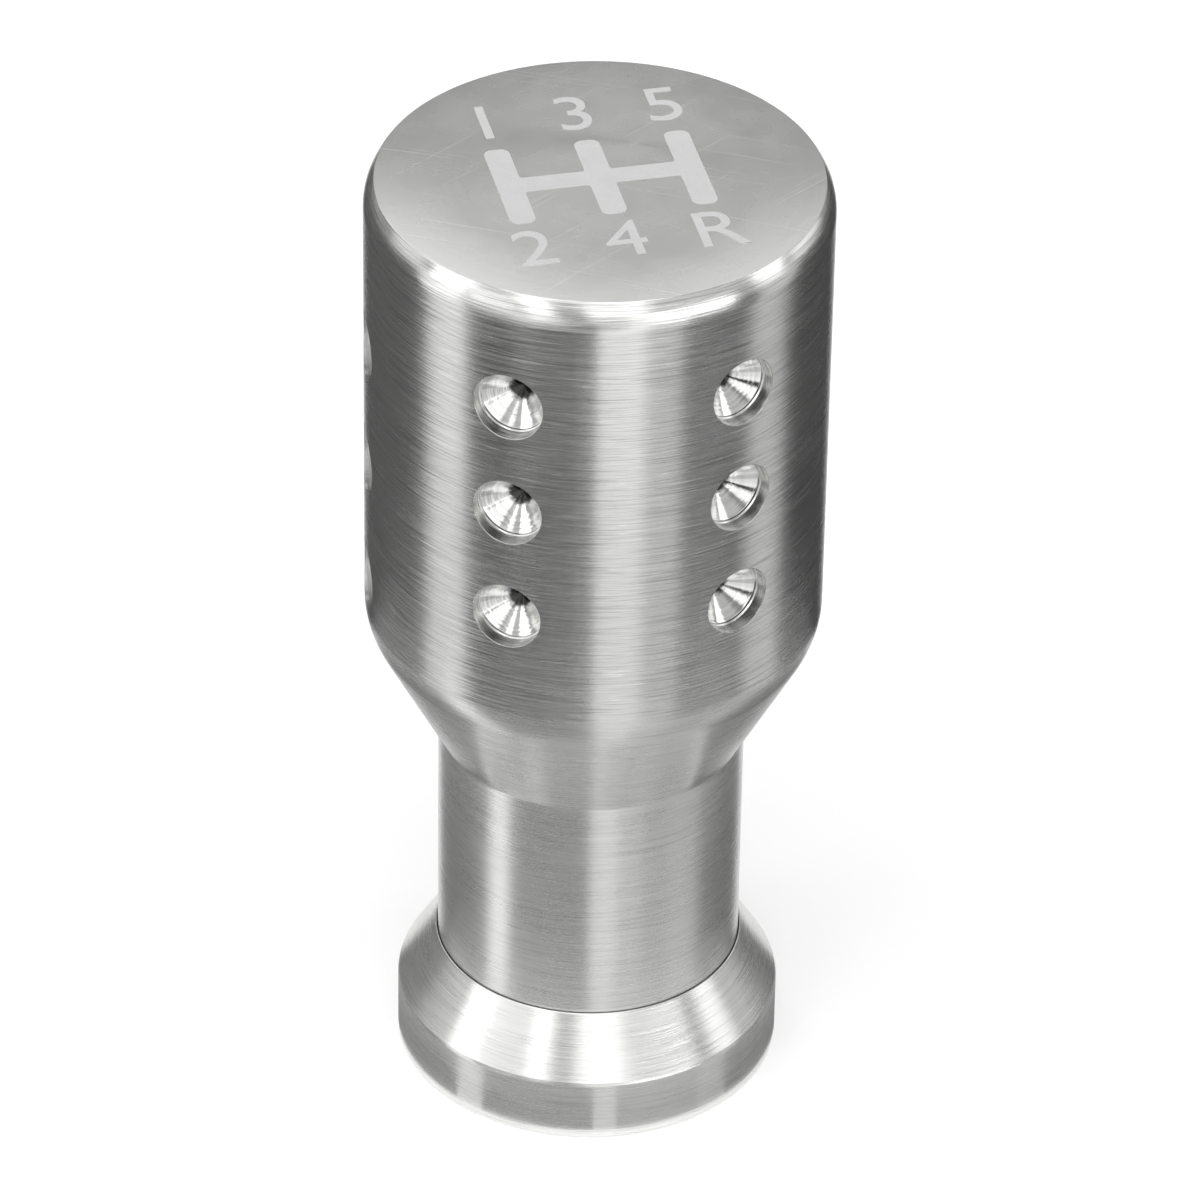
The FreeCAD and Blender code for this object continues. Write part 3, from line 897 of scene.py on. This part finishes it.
def drilled_metal():
    """Inside a hole: bright, with the drill's rings, a duller wall and painted shade darkening a dimple's
    tip.
    """
    tip_shade_reach = 1.1
    tip_shade_blur = 0.45
    ragged = 0.9
    wall_blur = 0.1
    metal = Turned("drilled_metal", tone=0.74, roughness=0.18, anisotropic=0.4)
    rings = metal.streaks(60.0, 0.3, detail=2.0)
    metal.groove(rings, 0.02)
    depth = set_math(metal.tree, "MODULO", metal.across, HOLE_TRAVEL * MM)
    near_tip = metal.mix((depth, 1.0), (metal.streaks(0.5, 0.6, seed=4.0), ragged * MM))
    start = (TIP_TRAVEL - tip_shade_reach) * MM
    # Painted shade: the tone is darkened near a dimple's tip, deep in the hole.
    metal.stain(metal.peaks(near_tip, start, start + tip_shade_blur * MM), 0.93)
    cone = metal.peaks(depth, (DIMPLE_WALL - wall_blur) * MM, (DIMPLE_WALL + wall_blur) * MM)
    wall = set_math(metal.tree, "SUBTRACT", 1.0, cone)
    return metal.finish(rings, 0.2, metal.mix((metal.clouds(3.0), 0.2), (wall, 0.8)), 0.06)


def plated_steel():
    """The adapter: turned steel under bright zinc, with a faint yellow and cloudy patches."""
    metal = Turned("plated_steel", tone=0.6, roughness=0.28, anisotropic=0.5, tint=(1.0, 0.98, 0.92))
    marks = metal.streaks(12.0, 0.14, detail=4.0)
    patches = metal.clouds(2.5, 3.0)
    metal.groove(marks, 0.012)
    return metal.finish(metal.mix((marks, 0.4), (patches, 0.6)), 0.09, patches, 0.12)


def frosted_mark():
    """The etched shift pattern: pale and dull, with a mottled grain."""
    etch = Finish("frosted_mark", tone=0.69, roughness=0.6, metallic=0.0, tint=NEUTRAL)
    grain = etch.clouds(0.3, 4.0)
    patches = etch.clouds(2.2, 3.0)
    etch.groove(grain, 0.01)
    return etch.finish(etch.mix((grain, 0.5), (patches, 0.5)), 0.1, patches, 0.08)


def spring_wire():
    """The snap ring: drawn wire, its marks along the wire, a little browned."""
    wire = Finish("spring_wire", tone=0.42, roughness=0.3, tint=(1.0, 0.99, 0.96))
    flat = set_node(wire.tree, "Mapping", Vector=wire.place, Scale=(1, 1, 0)).outputs[0]
    reach = set_node(wire.tree, "VectorMath")
    reach.operation = "LENGTH"
    feed(wire.tree, reach.inputs[0], flat)
    rise = set_node(wire.tree, "SeparateXYZ", Vector=wire.place).outputs["Z"]
    section = set_node(wire.tree, "CombineXYZ", X=reach.outputs["Value"], Y=rise)
    marks = wire.noise(section.outputs[0], 1 / (0.08 * MM))
    patches = wire.clouds(3.0)
    wire.groove(marks, 0.008)
    return wire.finish(wire.mix((marks, 0.5), (patches, 0.5)), 0.1, patches, 0.1)


def black_rubber():
    """The neck's ring: matt rubber with a fine grain and dust in patches."""
    rubber = Finish("black_rubber", tone=0.032, roughness=0.52, metallic=0.0, tint=NEUTRAL)
    grain = rubber.clouds(0.12, 3.0)
    dust = rubber.clouds(3.0, 4.0)
    rubber.groove(grain, 0.01)
    return rubber.finish(dust, 0.014, dust, 0.12)


def black_oxide():
    """The grub screws: blackened steel, rubbed lighter in patches."""
    steel = Finish("black_oxide", tone=0.1, roughness=0.36, tint=(1.0, 1.0, 1.04))
    grain = steel.clouds(0.15, 3.0)
    rubbed = steel.peaks(steel.clouds(1.1, 4.0), 0.5, 0.75)
    steel.groove(grain, 0.006)
    return steel.finish(rubbed, 0.05, steel.mix((grain, 0.5), (rubbed, 0.5)), 0.1)


# The studio, in metres and degrees. Azimuths are counted from the camera's, to its right, its own from -Y.
CAMERA_AZIMUTH = -8.24
CAMERA_ELEVATION = 35.204
CAMERA_DISTANCE = 0.6981
CAMERA_ROLL = 1.0
TARGET_RIGHT = 0.00062
TARGET_HEIGHT = 0.049
FOCAL_PIXELS = 7600
IMAGE_PIXELS = 1200
SENSOR = 36.0
CLIP_START = 0.01

FLOOR_RADIUS = 3.0
FLOOR_STEP = 5
FLOOR_TONE = 0.93
FLOOR_LIFT = 0.22
PAPER_ROUGHNESS = 0.9
SKY_LIGHT = 0.3
SUN_LIGHT = 0.9
SUN_WIDTH = 60
# Azimuth, this one counted from -Y, and elevation of the broad lamp overhead.
SUN_PLACE = (-20, 72)
LIGHT_DISTANCE = 0.9
# Softboxes: name, azimuth, width, lowest and highest elevation and lean in degrees, and radiance.
STRIPS = (
    ("left_tail", -100, 24, 4, 38, 0, 0.6),
    ("left_strip", -73, 19, 3, 40, 0, 1.8),
    ("left_fill", -49, 21, 1, 19, 0, 1.15),
    ("slim_strip", -29, 12, 2, 40, 20, 1.6),
    ("front_strip", 9, 28, 2, 38, 6, 1.1),
    ("right_fill", 44, 40, -6, 9, 0, 3.0),
    ("right_strip", 87, 18, 3, 38, -12, 1.4),
    ("right_tail", 114, 26, 3, 22, 0, 0.9),
    ("wide_fill", 5, 120, 32, 80, 0, 0.3),
    ("back_top", 180, 44, 41, 66, 0, 0.2),
    ("back_left", -154, 34, 36, 60, 0, 1.0),
    ("back_right", 154, 34, 36, 60, 0, 0.8),
)
CARD_HEIGHT = 0.0004
CARD_STEP = 3
# Bands of heights on the knob, in millimetres. Above its top the head's side counts as going on.
RIM = (0.5, 7.0)
NECK = (9.0, 40.0)
HEAD = (44.0, 130.0)
LOW = (44.0, 76.0)
HIGH = (76.0, 130.0)
FAR = (130.0, 900.0)
FAR_INNER = (130.0, 190.0)
FAR_OUTER = (190.0, 900.0)
HORIZON = (260.0, 2000.0)
# Grey cards on the floor: name, first and last azimuth of the upright skin that mirrors them, the band of
# heights of that skin, and tone.
CARDS = (
    ("rim_back_left", -88, -42, RIM, 0.31),
    ("rim_gap_left", -42, -32.5, RIM, 0.78),
    ("rim_left", -32.5, 2.5, RIM, 0.36),
    ("rim_front", 2.5, 9.5, RIM, 0.68),
    ("rim_right", 9.5, 36, RIM, 0.42),
    ("rim_gap_right", 36, 47, RIM, 0.52),
    ("rim_back_right", 47, 88, RIM, 0.29),
    ("neck_back_left", -80, -43, NECK, 0.22),
    ("neck_left", -33.5, 0.5, NECK, 0.29),
    ("neck_front", 0.5, 11.5, NECK, 0.8),
    ("neck_shoulder", 11.5, 21, NECK, 0.56),
    ("neck_right", 21, 34, NECK, 0.42),
    ("neck_gap_right", 34, 48, NECK, 0.52),
    ("neck_back_right", 48, 80, NECK, 0.19),
    ("head_back_left", -82, -45, HEAD, 0.1),
    ("low_gap_left", -45, -33, LOW, 0.68),
    ("low_left", -33, -11, LOW, 0.02),
    ("low_rise", -11, -5, LOW, 0.09),
    ("low_edge", -5, 0, LOW, 0.2),
    ("low_front", 0, 12, LOW, 0.66),
    ("low_shoulder", 12, 21, LOW, 0.37),
    ("high_gap_left", -45, -33, HIGH, 0.84),
    ("high_left", -33, -21, HIGH, 0.03),
    ("high_slim", -21, -12, HIGH, 0.06),
    ("high_front_left", -12, -5, HIGH, 0.09),
    ("high_edge", -5, 0, HIGH, 0.2),
    ("high_front", 0, 12, HIGH, 0.97),
    ("high_shoulder", 12, 21, HIGH, 0.6),
    ("head_right", 21, 40, HEAD, 0.11),
    ("head_gap_right", 40, 52, HEAD, 0.58),
    ("head_back_right", 52, 82, HEAD, 0.06),
    ("far_back_left", -82, -45, FAR, 0.1),
    ("far_left", -33, -20, FAR_INNER, 0.06),
    ("far_slim", -20, -13, FAR_INNER, 0.4),
    ("far_front_left", -13, 0, FAR_INNER, 0.12),
    ("outer_left", -33, -20, FAR_OUTER, 0.7),
    ("outer_slim", -20, -13, FAR_OUTER, 1.0),
    ("outer_front_left", -13, -3, FAR_OUTER, 0.9),
    ("outer_front", -7, 7, HORIZON, 0.02),
    ("far_shoulder", 12, 21, FAR, 0.52),
    ("far_right", 21, 40, FAR, 0.11),
    ("far_gap_right", 40, 52, FAR, 0.61),
    ("far_back_right", 52, 82, FAR, 0.06),
)


def ray_to(azimuth, elevation):
    """Unit vector towards an azimuth and an elevation, in degrees; azimuth 0 is -Y, +X to its right."""
    turn = math.radians(azimuth)
    rise = math.radians(elevation)
    return Vector((math.sin(turn) * math.cos(rise), -math.cos(turn) * math.cos(rise), math.sin(rise)))


def add_camera():
    """The photograph's viewpoint, with the frame turned a little as the photograph is."""
    back = ray_to(CAMERA_AZIMUTH, CAMERA_ELEVATION)
    right = outward_at(math.radians(CAMERA_AZIMUTH))
    up = back.cross(right)
    target = right * TARGET_RIGHT + UP * TARGET_HEIGHT
    roll = math.radians(CAMERA_ROLL)
    across = right * math.cos(roll) + up * math.sin(roll)
    above = up * math.cos(roll) - right * math.sin(roll)
    data = bpy.data.cameras.new("camera")
    data.sensor_width = SENSOR
    data.lens = FOCAL_PIXELS / IMAGE_PIXELS * SENSOR
    data.clip_start = CLIP_START
    camera = add_object("camera", data)
    axes = Matrix((across, above, back)).transposed().to_4x4()
    camera.matrix_world = Matrix.Translation(target + back * CAMERA_DISTANCE) @ axes
    bpy.context.scene.camera = camera


def plain_material(name, tone):
    """A dull grey of this tone."""
    material = bpy.data.materials.new(name)
    material.use_nodes = True
    tree = material.node_tree
    set_inputs(tree, tree.nodes["Principled BSDF"], Base_Color=(tone, tone, tone, 1),
               Roughness=PAPER_ROUGHNESS, Specular_IOR_Level=0.0)
    return material


def floor_material():
    """White paper, a little lifted for the camera and for mirrors so that it shows as plain white."""
    material = plain_material("floor_white", FLOOR_TONE)
    tree = material.node_tree
    path = set_node(tree, "LightPath")
    seen = set_math(tree, "MAXIMUM", path.outputs["Is Camera Ray"], path.outputs["Is Glossy Ray"])
    set_inputs(tree, tree.nodes["Principled BSDF"], Emission_Color=(1, 1, 1, 1),
               Emission_Strength=set_math(tree, "MULTIPLY", seen, FLOOR_LIFT))
    return material


def add_fan(name, edges, material):
    """A flat strip on the floor, between the near and far point of each edge."""
    points = [point for edge in edges for point in edge]
    faces = [(2 * step, 2 * step + 1, 2 * step + 3, 2 * step + 2) for step in range(len(edges) - 1)]
    mesh = bpy.data.meshes.new(name)
    mesh.from_pydata(points, [], faces)
    mesh.materials.append(material)
    fan = add_object(name, mesh)
    return fan


def mirrored_spot(azimuth, height):
    """The place on the floor that upright skin at this azimuth and height in millimetres mirrors."""
    radius = COLLAR_RADIUS
    if height > COLLAR_HEIGHT:
        radius = NECK_RADIUS
    if height > NECK_HEIGHT:
        radius = HEAD_RADIUS
    skin = ray_to(azimuth + CAMERA_AZIMUTH, 0) * radius
    away = ray_to(2 * azimuth + CAMERA_AZIMUTH, 0) * height / math.tan(math.radians(CAMERA_ELEVATION))
    return (skin + away) * MM


def add_card(name, start, end, band, tone):
    """A grey card that only mirrors see, so that the floor stays white."""
    steps = max(2, math.ceil((end - start) / CARD_STEP))
    edges = []
    for step in range(steps + 1):
        azimuth = start + (end - start) * step / steps
        edges.append([mirrored_spot(azimuth, height) + UP * CARD_HEIGHT for height in band])
    card = add_fan(name, edges, plain_material(name + "_grey", tone))
    card.visible_camera = False
    card.visible_shadow = False
    card.visible_diffuse = False


def add_strip(name, azimuth, width, low, high, lean, radiance):
    """A softbox that faces the knob, its size given as angles seen from the knob."""
    data = bpy.data.lights.new(name, "AREA")
    data.shape = "RECTANGLE"
    data.size = 2 * LIGHT_DISTANCE * math.tan(math.radians(width / 2))
    data.size_y = 2 * LIGHT_DISTANCE * math.tan(math.radians((high - low) / 2))
    data.energy = radiance * math.pi * data.size * data.size_y
    lamp = add_object(name, data)
    way = ray_to(azimuth + CAMERA_AZIMUTH, (low + high) / 2)
    lamp.location = way * LIGHT_DISTANCE + UP * TARGET_HEIGHT
    leaning = Quaternion(way, math.radians(lean))
    lamp.rotation_euler = (leaning @ way.to_track_quat("Z", "Y")).to_euler()
    lamp.visible_camera = False


def add_studio():
    """A white floor and sky, the cards and the lights."""
    bpy.context.scene.view_settings.view_transform = "Standard"
    world = bpy.data.worlds.new("studio")
    world.use_nodes = True
    tree = world.node_tree
    lifted = remap(tree, set_node(tree, "LightPath").outputs["Is Camera Ray"], SKY_LIGHT, 1.0)
    set_inputs(tree, tree.nodes["Background"], Color=(1, 1, 1, 1), Strength=lifted)
    bpy.context.scene.world = world

    rim = [ray_to(azimuth, 0) * FLOOR_RADIUS for azimuth in range(0, 360 + FLOOR_STEP, FLOOR_STEP)]
    add_fan("floor", [(UP * 0, point) for point in rim], floor_material())
    for card in CARDS:
        add_card(*card)

    sun = bpy.data.lights.new("overhead", "SUN")
    sun.energy = SUN_LIGHT
    sun.angle = math.radians(SUN_WIDTH)
    lamp = add_object("overhead", sun)
    lamp.rotation_euler = ray_to(*SUN_PLACE).to_track_quat("Z", "Y").to_euler()
    for strip in STRIPS:
        add_strip(*strip)


def fit(piece, body, node=None):
    """Let a piece ride on a body and, where given, stand for a node."""
    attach(piece, body)
    if node:
        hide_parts(node)


def dress():
    """Put the finished pieces around the solids and finish the solids that stay."""
    turned = turned_metal()
    knob = build_knob([brushed_metal(), turned, faced_metal(), drilled_metal()])
    fit(knob, "knob", "knob_body")
    fit(build_mark(frosted_mark()), "knob")
    fit(build_adapter(plated_steel()), "knob", "threaded_adapter")
    fit(build_collar(turned), "collar", "gaiter_collar")
    kept = {"snap_ring": spring_wire(), "neck_o_ring": black_rubber(), "grub_screws": black_oxide()}
    for node, material in kept.items():
        for slot in bpy.data.objects[node].material_slots:
            slot.material = material


dress()
add_studio()
add_camera()
